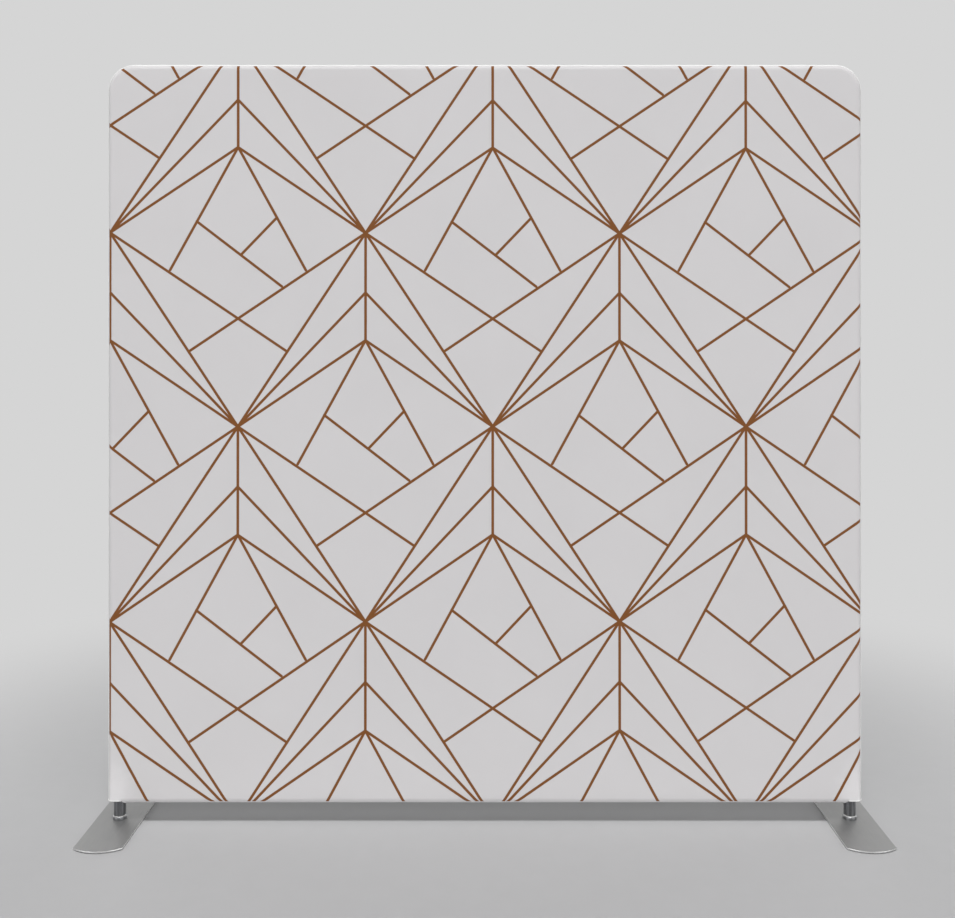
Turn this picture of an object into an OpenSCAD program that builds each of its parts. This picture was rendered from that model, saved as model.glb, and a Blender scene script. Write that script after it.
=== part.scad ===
// Free-standing event backdrop: a stretch-fabric cover zipped over a snap-together tube
// frame, on two flat swivelling feet. Millimetres, +Z up, the printed front faces -Y.
// The origin is on the floor under the middle of the panel. Left and right are as seen
// from the front.

/* [Panel] */
// Width of the covered panel
panel_w = 2440; // [2040:10:3200]
// Height of the covered panel, from its lower edge to its top
panel_h = 2390; // [1920:10:2600]
// Height of the panel's lower edge above the floor
floor_gap = 60; // [45:1:120]
// Outer radius of the two rounded top corners
corner_r = 87; // [75:1:120]

/* [Cover] */
// Thickness of the stretch fabric
cloth_t = 1; // [0.6:0.1:1.4]
// Gap between the fabric and the tubes that stretch it
cover_gap = 0.3; // [0.2:0.1:0.5]
// Height of each leg opening's hem above the panel's lower edge
hem_rise = 12.5; // [10:0.5:14]
// Height of the elastic binding round each leg opening
cuff_h = 3.5; // [2:0.5:5]
// How far the binding stands out past the fabric
cuff_lip = 0.6; // [0.2:0.1:1.5]

/* [Frame tube] */
// Outer diameter of the aluminium tube
tube_d = 38; // [36:1:44]
// Wall thickness of the tube
tube_wall = 1.5; // [1:0.1:2]
// Height of the joint between the lower and middle uprights
lower_joint_z = 850; // [500:10:950]
// Height of the joint between the middle upright and the corner tube
upper_joint_z = 1640; // [1200:10:1680]
// Distance of the two outer top joints from the middle
top_joint_x = 800; // [400:10:820]
// Length of the branch welded to each upright, from the upright's side
branch_len = 72; // [68:1:120]
// Height of the joint in the middle post
post_joint_z = 1255; // [600:5:1500]
// Gap left where one tube is shaped to sit against another
seat_gap = 0.05; // [0.02:0.01:0.1]

/* [Legs] */
// How far each leg stands in from the line of its upright
leg_inset = 16; // [12:0.5:20]
// Height of the cast middle of the joint between leg and upright
leg_joint_h = 30; // [20:2:40]
// Length of the joint's plug inside the leg, and inside the upright
leg_plug = 50; // [30:5:60]
// Wall thickness of the two plugs
leg_plug_wall = 4; // [3:0.5:6]
// Gap between the top of the foot post and the plug above it
leg_plug_gap = 8; // [5:1:20]
// Height of the block that holds the cover's corner out past each leg
block_h = 60; // [30:5:80]
// How far the block's thin edges stop short of the leg's middle
block_edge = 6; // [4:0.5:8]

/* [Middle post] */
// Outer diameter of the lighter tube of the middle post
post_tube_d = 30; // [28:1:32]
// Diameter of the saddles at the post's ends
saddle_d = 34; // [33:1:35]
// Height of the saddle body past the bar that it sits on
saddle_body = 12; // [8:1:20]
// How far the saddle's cheeks start from the bar's axis
saddle_cheek = 10; // [10:1:14]
// Length of the saddle's plug inside the post
saddle_plug = 40; // [20:1:80]

/* [Joint sleeves] */
// Length of the sleeve inside each tube joint
sleeve_len = 120; // [110:2:130]
// Wall thickness of the sleeve
sleeve_wall = 1.5; // [1:0.1:2]
// Radial gap between the sleeve and the tube
sleeve_gap = 0.1; // [0.05:0.05:0.2]
// Distance of the rivet from the joint
rivet_offset = 42; // [36:1:48]
// Diameter of the rivet's shank
rivet_d = 4; // [3:0.5:5]
// Diameter of the rivet's head
rivet_head_d = 8; // [6:0.5:10]
// Height of the rivet's head
rivet_head_h = 1.2; // [0.8:0.1:2]

/* [Snap buttons] */
// Diameter of the button
button_d = 8; // [6:0.5:9]
// How far the button stands out of the tube
button_out = 4; // [3:0.5:5]
// Distance of the button from the joint
button_offset = 35; // [30:1:42]
// Diameter of the flange that keeps the button in
button_flange_d = 11; // [10:0.5:12]
// Thickness of the flange
button_flange_t = 1; // [0.8:0.1:1.5]
// Radial clearance of the button in its holes
button_gap = 0.08; // [0.05:0.01:0.1]
// Width of the V spring's strip
spring_w = 8; // [6:0.5:9]
// Thickness of the V spring's strip
spring_t = 0.8; // [0.5:0.1:1]
// Length of the V spring, from the button to its bend
spring_len = 48; // [40:1:60]
// How far the spring's two ends reach past the flange
spring_end = 1; // [0.5:0.1:2]

/* [Feet] */
// Width of the foot plate
plate_w = 152; // [100:1:200]
// Length of the foot plate, front to back
plate_len = 462; // [300:2:600]
// Thickness of the foot plate
plate_t = 5; // [5:0.5:8]
// Radius of the plate's rounded ends
plate_end_r = 120; // [101:1:140]
// Diameter of the post that the leg turns on
post_d = 33; // [30:0.5:33.5]
// Height of the post above the plate
post_h = 160; // [100:5:250]
// Wall thickness of the post
post_wall = 3; // [2:0.5:4]
// Height of the solid base inside the post
post_base = 24; // [20:1:40]
// Diameter of the rounded collar at the post's foot
collar_d = 44; // [42:0.5:50]
// Height of the collar
collar_h = 11; // [8:0.5:16]
// Radius of the collar's rounded shoulder
collar_round = 3; // [1:0.5:3]
// Radial clearance between the post and its bushes
bush_gap = 0.07; // [0.03:0.01:0.1]
// Thickness of the lower bush's flange
bush_flange_t = 2; // [1.5:0.5:4]
// Length of each bush inside the tube
bush_len = 26; // [15:1:40]
// Thread diameter of the screw that holds the post to the plate
screw_d = 10; // [8:1:12]
// Diameter of the screw's countersunk head
screw_head_d = 20; // [18:1:24]
// Height of the countersunk head
screw_head_h = 4; // [3:0.5:5]
// Length of the screw above the plate
screw_len = 18; // [12:1:19]
// Size across the corners of the screw's hexagon socket
socket_d = 7; // [5:0.5:8]
// Depth of the hexagon socket
socket_depth = 3; // [2:0.5:4]
// Radial clearance round the screw
screw_gap = 0.1; // [0.05:0.05:0.3]
// Diameter of each rubber pad
pad_d = 22; // [15:1:30]
// Thickness of each rubber pad
pad_t = 2; // [1:0.5:4]
// Distance of the pads from the plate's sides, to the pad's centre
pad_side_inset = 26; // [20:1:40]
// Distance of the pads from the plate's ends, to the pad's centre
pad_end_inset = 48; // [40:1:80]

/* [Zip] */
// Length of the zip in the back of the cover
zip_len = 2200; // [1000:10:2200]
// Height of the zip above the top of the bottom bar
zip_rise = 20; // [18:1:60]
// Height of the slit in the cover that the zip closes
zip_slit = 10; // [9:0.5:12]
// Width of each tape
tape_w = 16; // [12:0.5:20]
// Thickness of each tape
tape_t = 0.8; // [0.5:0.1:1]
// Length of the tapes past each end of the zip
tape_end = 16; // [5:1:18]
// Gap between the tapes and the cover that they are sewn to
tape_gap = 0.1; // [0.05:0.05:0.2]
// Width and depth of each row of coils
coil_w = 2; // [1.5:0.1:2.2]
// Gap between the two rows, which the slider's bridge runs in
coil_gap = 0.8; // [0.8:0.1:1.2]
// Length of the slider
slider_len = 14; // [12:0.5:20]
// Width of the slider
slider_w = 8.4; // [8:0.1:8.6]
// Thickness of the slider's plates
slider_t = 1; // [0.8:0.1:1.5]
// Clearance between the slider and what it runs on
slider_gap = 0.25; // [0.1:0.05:0.3]
// Thickness of the bridge between the slider's plates
bridge_t = 0.6; // [0.4:0.05:0.6]
// Thickness of the loop that holds the pull
loop_t = 1.2; // [1:0.1:1.5]
// Length of the opening in the loop
loop_len = 5.6; // [5:0.2:8]
// Diameter of the cross pin of the pull
pull_pin_d = 2; // [1.6:0.1:2.4]
// Length of the pull
pull_len = 34; // [25:1:50]
// Width of the pull
pull_w = 8; // [7:0.5:10]
// Thickness of the pull
pull_t = 1.5; // [1:0.1:1.6]
// Length of each metal stop at the zip's ends
stop_len = 3; // [2:0.5:5]

/* [Hidden] */

$fn = 96;
// Small overlap that lets a cut pass clear through a face
cut = 1;

// Frame and cover, from the panel's size
tube_r = tube_d / 2;
tube_in = tube_r - tube_wall;
post_tube_r = post_tube_d / 2;
cover_in = tube_r + cover_gap;
cover_r = cover_in + cloth_t;
upright_x = panel_w / 2 - cover_r;
top_z = floor_gap + panel_h - cover_r;
bar_z = floor_gap + cover_r;
bend_r = corner_r - cover_r;
bend_x = upright_x - bend_r;
bend_z = top_z - bend_r;
leg_x = upright_x - leg_inset;
branch_x = leg_x - tube_r - branch_len;
hem_z = floor_gap + hem_rise;

// Foot stack, from the floor up
plate_z = pad_t;
post_z = plate_z + plate_t;
collar_top = post_z + collar_h;
leg_end = collar_top + bush_flange_t;
post_r = post_d / 2;
bush_in = post_r + bush_gap;
bush_out = tube_in - seat_gap;
leg_top = post_z + post_h + leg_plug_gap + leg_plug;
upright_end = leg_top + leg_joint_h;

// Joint sleeve, rivet and snap button, in a tube of outer radius r
rivet_r = rivet_d / 2;
rivet_tail = 1;
button_r = button_d / 2;
button_hole_r = button_r + button_gap;
flange_r = button_flange_d / 2;
function sleeve_out(r) = r - tube_wall - sleeve_gap;
function sleeve_in(r) = sleeve_out(r) - sleeve_wall;
function inside(r, half_w) = sqrt(sleeve_in(r) * sleeve_in(r) - half_w * half_w);
function flange_bottom(r) = inside(r, flange_r) - button_gap - button_flange_t;
function spring_foot(r) = inside(r, spring_w / 2) - 2 * button_gap;

// Zip, as depths behind the panel's middle plane
zip_z = bar_z + cover_r + zip_rise;
tape_out = cover_in - tape_gap;
tape_in = tape_out - tape_t;
coil_out = tape_out + coil_w;
plate_out = coil_out + slider_gap;
plate_in = tape_in - slider_gap;
slider_back = plate_out + slider_t;
loop_gap = pull_pin_d + 2 * slider_gap;
pin_y = slider_back + loop_gap / 2;
slider_x = zip_len / 2 - stop_len - slider_gap - slider_len / 2;

// Joints: position, the turn that takes +Z to the buttoned tube and +X to the button, and
// the tube's outer radius
LEFT_LOWER = 0;
LEFT_UPPER = 1;
RIGHT_LOWER = 2;
RIGHT_UPPER = 3;
TOP_LEFT = 4;
TOP_MIDDLE = 5;
TOP_RIGHT = 6;
BOTTOM_LEFT = 7;
BOTTOM_MIDDLE = 8;
BOTTOM_RIGHT = 9;
POST = 10;
JOINTS = [
    [[-upright_x, 0, lower_joint_z], [0, 0, 0], tube_r],
    [[-upright_x, 0, upper_joint_z], [0, 0, 0], tube_r],
    [[upright_x, 0, lower_joint_z], [0, 0, 180], tube_r],
    [[upright_x, 0, upper_joint_z], [0, 0, 180], tube_r],
    [[-top_joint_x, 0, top_z], [0, 90, 0], tube_r],
    [[0, 0, top_z], [0, 90, 0], tube_r],
    [[top_joint_x, 0, top_z], [180, 90, 0], tube_r],
    [[-branch_x, 0, bar_z], [180, -90, 0], tube_r],
    [[0, 0, bar_z], [180, -90, 0], tube_r],
    [[branch_x, 0, bar_z], [0, -90, 0], tube_r],
    [[0, 0, post_joint_z], [0, 0, 0], post_tube_r]
];

// A strip of even thickness along a chain of points, as one outline
function unit(v) = v / norm(v);
function side_way(v) = [-v[1], v[0]];
function corner_way(p, i) =
    let (a = unit(p[max(i, 1)] - p[max(i, 1) - 1]))
    let (b = unit(p[min(i, len(p) - 2) + 1] - p[min(i, len(p) - 2)]))
    let (n = unit(side_way(a) + side_way(b)))
    n / (n * side_way(a));
function strip(p, t) = concat(
    [for (i = [0:len(p) - 1]) p[i] + corner_way(p, i) * t / 2],
    [for (i = [len(p) - 1:-1:0]) p[i] - corner_way(p, i) * t / 2]
);

module at_joint(i) {
    translate(JOINTS[i][0]) rotate(JOINTS[i][1]) children();
}

// A hollow round tube standing on the XY plane
module pipe(r_out, r_in, h) {
    difference() {
        cylinder(r = r_out, h = h);
        translate([0, 0, -cut]) cylinder(r = r_in, h = h + 2 * cut);
    }
}

// A drilling from the middle of a joint out through one wall, on the buttoned side
module radial_hole(r, along) {
    translate([0, 0, along]) rotate([0, 90, 0]) cylinder(r = r, h = tube_d, $fn = 48);
}

// The button and rivet holes of the listed joints
module joint_holes(joints) {
    for (i = joints) {
        at_joint(i) radial_hole(button_hole_r, button_offset);
        at_joint(i) radial_hole(rivet_r + seat_gap, -rivet_offset);
    }
}

// A frame tube along +Z, and one along +X
module upright_tube(x, z0, z1, joints, r = tube_r) {
    color("silver") difference() {
        translate([x, 0, z0]) pipe(r, r - tube_wall, z1 - z0);
        joint_holes(joints);
    }
}

module level_tube(x0, x1, z, joints) {
    color("silver") difference() {
        translate([x0, 0, z]) rotate([0, 90, 0]) pipe(tube_r, tube_in, x1 - x0);
        joint_holes(joints);
    }
}

// Bent top corner, drawn on the right and mirrored for the left
module corner_shape() {
    translate([upright_x, 0, upper_joint_z]) pipe(tube_r, tube_in, bend_z - upper_joint_z);
    translate([top_joint_x, 0, top_z]) rotate([0, 90, 0])
        pipe(tube_r, tube_in, bend_x - top_joint_x);
    translate([bend_x, 0, bend_z]) rotate([90, 0, 0]) rotate_extrude(angle = 90)
        translate([bend_r, 0]) difference() {
            circle(r = tube_r);
            circle(r = tube_in);
        }
}

module left_corner_tube() {
    color("silver") difference() {
        mirror([1, 0, 0]) corner_shape();
        joint_holes([LEFT_UPPER, TOP_LEFT]);
    }
}

module right_corner_tube() {
    color("silver") difference() {
        corner_shape();
        joint_holes([RIGHT_UPPER, TOP_RIGHT]);
    }
}

// Short branch welded to the inside of a leg, shaped to its round side
module branch_tube(side, joint) {
    color("silver") difference() {
        mirror([side < 0 ? 1 : 0, 0, 0]) difference() {
            translate([branch_x, 0, bar_z]) rotate([0, 90, 0])
                pipe(tube_r, tube_in, leg_x - branch_x);
            translate([leg_x, 0, 0]) cylinder(r = tube_r + seat_gap, h = 2 * bar_z);
        }
        joint_holes([joint]);
    }
}

// Cast joints that set each leg in from its upright: a middle with a plug down and a plug up
module leg_joints() {
    color("gainsboro") for (side = [0, 1]) mirror([side, 0, 0]) {
        translate([leg_x, 0, leg_top]) linear_extrude(leg_joint_h) leg_outline(tube_r);
        for (at = [[leg_x, leg_top - leg_plug], [upright_x, upright_end]])
            translate([at[0], 0, at[1]])
                pipe(sleeve_out(tube_r), sleeve_out(tube_r) - leg_plug_wall, leg_plug);
    }
}

// Outline r round the line from a leg's middle, at the origin, to its upright's
module leg_outline(r) {
    circle(r = r);
    translate([0, -r]) square([leg_inset, 2 * r]);
    translate([leg_inset, 0]) circle(r = r);
}

// Moulded blocks bonded to the outside of each leg, in line with the upright above it
module corner_blocks() {
    color("dimgray") for (side = [0, 1]) mirror([side, 0, 0]) difference() {
        translate([upright_x, 0, hem_z]) linear_extrude(block_h) {
            circle(r = tube_r);
            translate([block_edge - leg_inset, -tube_r]) square([leg_inset - block_edge, tube_d]);
        }
        translate([leg_x, 0, 0]) cylinder(r = tube_r + seat_gap, h = 2 * bar_z + block_h);
    }
}

// Moulded saddle between a level bar and the middle post; way is the side of the bar it is on
module saddle(z, way) {
    color("dimgray") translate([0, 0, z]) mirror([0, 0, way < 0 ? 1 : 0]) difference() {
        union() {
            translate([0, 0, saddle_cheek])
                cylinder(d = saddle_d, h = tube_r + saddle_body - saddle_cheek);
            cylinder(r = sleeve_out(post_tube_r), h = tube_r + saddle_body + saddle_plug);
        }
        translate([-tube_d, 0, 0]) rotate([0, 90, 0])
            cylinder(r = tube_r + seat_gap, h = 2 * tube_d);
        translate([0, 0, tube_r + saddle_body])
            cylinder(r = sleeve_in(post_tube_r), h = saddle_plug + cut);
    }
}

// Sleeves inside the listed joints
module sleeves(joints) {
    color("gainsboro") difference() {
        for (i = joints) at_joint(i) translate([0, 0, -sleeve_len / 2])
            pipe(sleeve_out(JOINTS[i][2]), sleeve_in(JOINTS[i][2]), sleeve_len);
        joint_holes(joints);
    }
}

module sleeve_rivets() {
    color("whitesmoke") for (i = [0:len(JOINTS) - 1]) at_joint(i)
        translate([0, 0, -rivet_offset]) rotate([0, 90, 0]) rivet(JOINTS[i][2]);
}

// A dome-headed rivet along +Z from the axis of a tube of radius r
module rivet(r) {
    dome_r = (rivet_head_d * rivet_head_d / 4 + rivet_head_h * rivet_head_h) / (2 * rivet_head_h);
    tail_z = sleeve_in(r) - rivet_tail;
    translate([0, 0, tail_z]) cylinder(r = rivet_r, h = r + rivet_head_h / 2 - tail_z);
    translate([0, 0, r]) intersection() {
        cylinder(d = rivet_head_d, h = rivet_head_h);
        translate([0, 0, rivet_head_h - dome_r]) sphere(r = dome_r);
    }
}

// Spring-loaded button, domed outside the tube and flanged inside its sleeve
module snap_button(i) {
    r = JOINTS[i][2];
    low = flange_bottom(r);
    shoulder = r + button_out - button_r;
    color("gold") at_joint(i) translate([0, 0, button_offset]) rotate([0, 90, 0]) rotate_extrude() {
        translate([0, low]) square([flange_r, button_flange_t]);
        translate([0, low]) square([button_r, shoulder - low]);
        translate([0, shoulder]) intersection() {
            circle(r = button_r);
            translate([0, -button_r]) square([button_r, 2 * button_r]);
        }
    }
}

// V spring under each button: flat under the flange, bent round, and back to the far wall
function spring_path(r, bend, rest) = concat(
    [[rest, flange_bottom(r) - spring_t / 2], [-rest, flange_bottom(r) - spring_t / 2]],
    [for (a = [75:-30:-75]) [-spring_len + bend - bend * cos(a), bend * sin(a)]],
    [[rest, spring_t / 2 - spring_foot(r)]]
);

module button_springs() {
    bend = 3 * spring_t;
    rest = flange_r + spring_end;
    color("slategray") for (i = [0:len(JOINTS) - 1]) at_joint(i)
        translate([0, spring_w / 2, button_offset]) rotate([90, 0, 0])
            linear_extrude(spring_w) rotate(90) mirror([0, 1])
                polygon(strip(spring_path(JOINTS[i][2], bend, rest), spring_t));
}

// Flat foot plate with rounded ends and a countersunk hole; side is -1 left or 1 right
module foot_plate(side) {
    flat = plate_len / 2 - plate_end_r;
    color("darkgray") translate([side * leg_x, 0, plate_z]) difference() {
        linear_extrude(plate_t) intersection() {
            square([plate_w, plate_len], center = true);
            union() {
                square([2 * plate_end_r, 2 * flat], center = true);
                for (y = [-flat, flat]) translate([0, y]) circle(r = plate_end_r);
            }
        }
        translate([0, 0, -cut]) cylinder(d = screw_d + 2 * screw_gap, h = plate_t + 2 * cut);
        cylinder(d1 = screw_head_d + 2 * screw_gap, d2 = screw_d + 2 * screw_gap, h = screw_head_h);
    }
}

// Turned post that the leg turns on, with a rounded collar at its foot
module foot_post(side) {
    collar = collar_d / 2;
    color("lightgray") translate([side * leg_x, 0, post_z]) difference() {
        union() {
            rotate_extrude() {
                square([collar - collar_round, collar_h]);
                square([collar, collar_h - collar_round]);
                translate([collar - collar_round, collar_h - collar_round])
                    circle(r = collar_round);
            }
            cylinder(r = post_r, h = post_h);
        }
        translate([0, 0, post_base]) cylinder(r = post_r - post_wall, h = post_h);
        translate([0, 0, -cut]) cylinder(d = screw_d + 2 * screw_gap, h = post_base + 2 * cut);
    }
}

module foot_screw(side) {
    color("dimgray") translate([side * leg_x, 0, plate_z]) difference() {
        union() {
            cylinder(d1 = screw_head_d, d2 = screw_d, h = screw_head_h);
            cylinder(d = screw_d, h = plate_t + screw_len);
        }
        translate([0, 0, -cut]) cylinder(d = socket_d, h = socket_depth + cut, $fn = 6);
    }
}

module foot_pads(side) {
    pad_x = plate_w / 2 - pad_side_inset;
    pad_y = plate_len / 2 - pad_end_inset;
    color("black") for (x = [-pad_x, pad_x]) for (y = [-pad_y, pad_y])
        translate([side * leg_x + x, y, 0]) cylinder(d = pad_d, h = pad_t);
}

// Plain bearing bushes in the end of each leg, the lower one flanged
module foot_bushes(side) {
    color("white") translate([side * leg_x, 0, 0]) {
        translate([0, 0, collar_top]) pipe(tube_r, bush_in, bush_flange_t);
        translate([0, 0, leg_end]) pipe(bush_out, bush_in, bush_len);
        translate([0, 0, post_z + post_h - bush_len]) pipe(bush_out, bush_in, bush_len);
    }
}

// A quarter of the cover's round edge, as an outline in the +X +Y quarter
module quarter_edge() {
    intersection() {
        difference() {
            circle(r = cover_r);
            circle(r = cover_in);
        }
        square([cover_r, cover_r]);
    }
}

// Outline of the flat part of the cover, inside the tubes' axes
module panel_outline() {
    translate([-upright_x, bar_z]) square([2 * upright_x, bend_z - bar_z]);
    translate([-bend_x, bend_z]) square([2 * bend_x, bend_r]);
    for (x = [-bend_x, bend_x]) translate([x, bend_z]) circle(r = bend_r);
}

// One face of the cover with the half of the round edge that belongs to it, on the -Y side
module cover_half() {
    translate([0, -cover_in, 0]) rotate([90, 0, 0]) linear_extrude(cloth_t) panel_outline();
    for (side = [0, 1]) mirror([side, 0, 0]) {
        translate([upright_x, 0, hem_z]) mirror([0, 1, 0])
            linear_extrude(bend_z - hem_z) quarter_edge();
        translate([leg_x, -cover_r, hem_z]) cube([leg_inset, cloth_t, bar_z - hem_z]);
        difference() {
            translate([leg_x, 0, hem_z]) mirror([0, 1, 0]) mirror([1, 0, 0])
                linear_extrude(bar_z - hem_z) quarter_edge();
            translate([branch_x, 0, bar_z]) rotate([0, 90, 0])
                cylinder(r = cover_in, h = leg_x - branch_x + cut);
        }
        translate([bend_x, 0, bend_z]) rotate([90, 0, 0]) rotate_extrude(angle = 90)
            translate([bend_r, 0]) quarter_edge();
    }
    translate([-bend_x, 0, top_z]) rotate([0, 90, 0]) rotate(180)
        linear_extrude(2 * bend_x) quarter_edge();
    difference() {
        translate([-leg_x, 0, bar_z]) rotate([0, 90, 0]) rotate(-90)
            linear_extrude(2 * leg_x) quarter_edge();
        for (x = [-leg_x, leg_x]) translate([x, 0, 0])
            cylinder(r = cover_in, h = bar_z + cut);
    }
}

module front_cover() {
    color([0.8, 0.79, 0.79]) cover_half();
}

module back_cover() {
    color("whitesmoke") difference() {
        mirror([0, 1, 0]) cover_half();
        translate([-zip_len / 2, cover_in - cut, zip_z - zip_slit / 2])
            cube([zip_len, cloth_t + 2 * cut, zip_slit]);
    }
}

// Binding round a leg opening, open where the bar's round comes in
module leg_cuff(side) {
    color("white") mirror([side < 0 ? 1 : 0, 0, 0]) difference() {
        translate([leg_x, 0, hem_z - cuff_h]) linear_extrude(cuff_h) difference() {
            leg_outline(cover_r + cuff_lip);
            leg_outline(cover_in);
        }
        translate([branch_x, 0, bar_z]) rotate([0, 90, 0])
            cylinder(r = cover_r + seat_gap, h = leg_x - branch_x);
    }
}

// Zip: way is 1 for the row above the middle line and -1 for the row below it
module zip_tape(way) {
    color("white") translate([-zip_len / 2 - tape_end, tape_in, zip_z])
        mirror([0, 0, way < 0 ? 1 : 0]) translate([0, 0, coil_gap / 2])
            cube([zip_len + 2 * tape_end, tape_t, tape_w]);
}

module zip_coil(way) {
    run = zip_len - 2 * stop_len;
    color("gainsboro") translate([-run / 2, tape_out, zip_z]) mirror([0, 0, way < 0 ? 1 : 0])
        translate([0, 0, coil_gap / 2]) {
            cube([run, coil_w / 2, coil_w]);
            translate([0, coil_w / 2, coil_w / 2]) rotate([0, 90, 0])
                cylinder(d = coil_w, h = run, $fn = 24);
        }
}

module zip_stops() {
    color("silver") for (x = [-zip_len / 2, zip_len / 2 - stop_len])
        translate([x, tape_out, zip_z - coil_gap / 2 - coil_w])
            cube([stop_len, coil_w, coil_gap + 2 * coil_w]);
}

// Slider: two plates, a thin bridge between the rows, and the loop for the pull
module zip_slider() {
    half_w = slider_w / 2;
    arm = loop_len / 2 + loop_t;
    color("silver") translate([slider_x, 0, zip_z]) {
        translate([-slider_len / 2, plate_out, -half_w]) cube([slider_len, slider_t, slider_w]);
        translate([-slider_len / 2, plate_in - slider_t, -half_w])
            cube([slider_len, slider_t, slider_w]);
        translate([slider_len / 4, plate_in - slider_t, -bridge_t / 2])
            cube([slider_len / 4, slider_back - plate_in + slider_t, bridge_t]);
        for (x = [-arm, loop_len / 2]) translate([x, slider_back, -loop_t])
            cube([loop_t, loop_gap + loop_t, 2 * loop_t]);
        translate([-arm, slider_back + loop_gap, -loop_t]) cube([2 * arm, loop_t, 2 * loop_t]);
    }
}

// Pull lying along the zip, on a cross pin through the slider's loop
module zip_pull() {
    eye = loop_len + loop_t;
    arm_z = loop_t + slider_gap;
    color("gray") translate([slider_x, pin_y, zip_z]) {
        translate([0, 0, -pull_w / 2]) cylinder(d = pull_pin_d, h = pull_w, $fn = 24);
        difference() {
            translate([-pull_len, -pull_t / 2, -pull_w / 2]) cube([pull_len, pull_t, pull_w]);
            translate([-eye, -pull_t, -arm_z]) cube([eye + cut, 2 * pull_t, 2 * arm_z]);
            translate([-pull_len + pull_w / 2, pull_t, 0]) rotate([90, 0, 0])
                cylinder(d = pull_w / 2, h = 2 * pull_t, $fn = 32);
        }
    }
}

left_corner_tube();
right_corner_tube();
level_tube(-top_joint_x, 0, top_z, [TOP_LEFT, TOP_MIDDLE]);  // left_top_tube
level_tube(0, top_joint_x, top_z, [TOP_MIDDLE, TOP_RIGHT]);  // right_top_tube
upright_tube(-upright_x, lower_joint_z, upper_joint_z, [LEFT_LOWER, LEFT_UPPER]);  // left_middle_tube
upright_tube(upright_x, lower_joint_z, upper_joint_z, [RIGHT_LOWER, RIGHT_UPPER]);  // right_middle_tube
upright_tube(-upright_x, upright_end, lower_joint_z, [LEFT_LOWER]);  // left_lower_tube
upright_tube(upright_x, upright_end, lower_joint_z, [RIGHT_LOWER]);  // right_lower_tube
leg_joints();
upright_tube(-leg_x, leg_end, leg_top, []);  // left_leg_tube
upright_tube(leg_x, leg_end, leg_top, []);  // right_leg_tube
branch_tube(-1, BOTTOM_LEFT);  // left_branch_tube
branch_tube(1, BOTTOM_RIGHT);  // right_branch_tube
level_tube(-branch_x, 0, bar_z, [BOTTOM_LEFT, BOTTOM_MIDDLE]);  // left_bottom_tube
level_tube(0, branch_x, bar_z, [BOTTOM_MIDDLE, BOTTOM_RIGHT]);  // right_bottom_tube
upright_tube(0, post_joint_z, top_z - tube_r - saddle_body, [POST], post_tube_r);  // upper_post_tube
upright_tube(0, bar_z + tube_r + saddle_body, post_joint_z, [POST], post_tube_r);  // lower_post_tube
saddle(top_z, -1);  // top_saddle
saddle(bar_z, 1);  // bottom_saddle
corner_blocks();
sleeves([LEFT_LOWER, LEFT_UPPER]);  // left_sleeves
sleeves([RIGHT_LOWER, RIGHT_UPPER]);  // right_sleeves
sleeves([TOP_LEFT, TOP_MIDDLE, TOP_RIGHT]);  // top_sleeves
sleeves([BOTTOM_LEFT, BOTTOM_MIDDLE, BOTTOM_RIGHT]);  // bottom_sleeves
sleeves([POST]);  // post_sleeve
sleeve_rivets();
button_springs();
snap_button(LEFT_LOWER);  // left_lower_button
snap_button(LEFT_UPPER);  // left_upper_button
snap_button(RIGHT_LOWER);  // right_lower_button
snap_button(RIGHT_UPPER);  // right_upper_button
snap_button(TOP_LEFT);  // top_left_button
snap_button(TOP_MIDDLE);  // top_middle_button
snap_button(TOP_RIGHT);  // top_right_button
snap_button(BOTTOM_LEFT);  // bottom_left_button
snap_button(BOTTOM_MIDDLE);  // bottom_middle_button
snap_button(BOTTOM_RIGHT);  // bottom_right_button
snap_button(POST);  // post_button
foot_plate(-1);  // left_foot_plate
foot_plate(1);  // right_foot_plate
foot_post(-1);  // left_foot_post
foot_post(1);  // right_foot_post
foot_screw(-1);  // left_foot_screw
foot_screw(1);  // right_foot_screw
foot_pads(-1);  // left_foot_pads
foot_pads(1);  // right_foot_pads
foot_bushes(-1);  // left_foot_bushes
foot_bushes(1);  // right_foot_bushes
front_cover();
back_cover();
leg_cuff(-1);  // left_leg_cuff
leg_cuff(1);  // right_leg_cuff
zip_tape(1);  // upper_zip_tape
zip_tape(-1);  // lower_zip_tape
zip_coil(1);  // upper_zip_coil
zip_coil(-1);  // lower_zip_coil
zip_stops();
zip_slider();
zip_pull();
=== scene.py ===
import math

import bpy
import numpy as np
from mathutils import Matrix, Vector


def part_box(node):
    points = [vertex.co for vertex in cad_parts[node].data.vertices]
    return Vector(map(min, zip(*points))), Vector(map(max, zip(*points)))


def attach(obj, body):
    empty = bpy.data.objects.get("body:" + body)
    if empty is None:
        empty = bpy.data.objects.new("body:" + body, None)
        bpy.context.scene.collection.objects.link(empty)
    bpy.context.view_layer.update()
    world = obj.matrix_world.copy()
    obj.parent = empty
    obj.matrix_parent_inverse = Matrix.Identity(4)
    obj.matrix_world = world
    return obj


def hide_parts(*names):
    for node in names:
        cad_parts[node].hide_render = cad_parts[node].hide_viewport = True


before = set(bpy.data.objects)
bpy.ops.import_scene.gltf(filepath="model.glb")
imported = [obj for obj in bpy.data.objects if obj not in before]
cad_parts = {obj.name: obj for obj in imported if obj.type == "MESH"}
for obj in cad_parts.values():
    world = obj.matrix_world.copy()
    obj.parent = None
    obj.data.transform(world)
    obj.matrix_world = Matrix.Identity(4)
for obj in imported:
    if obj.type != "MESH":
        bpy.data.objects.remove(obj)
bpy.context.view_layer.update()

# Sizes are in metres and turns in degrees. Places come from the boxes of the CAD nodes.

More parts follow.
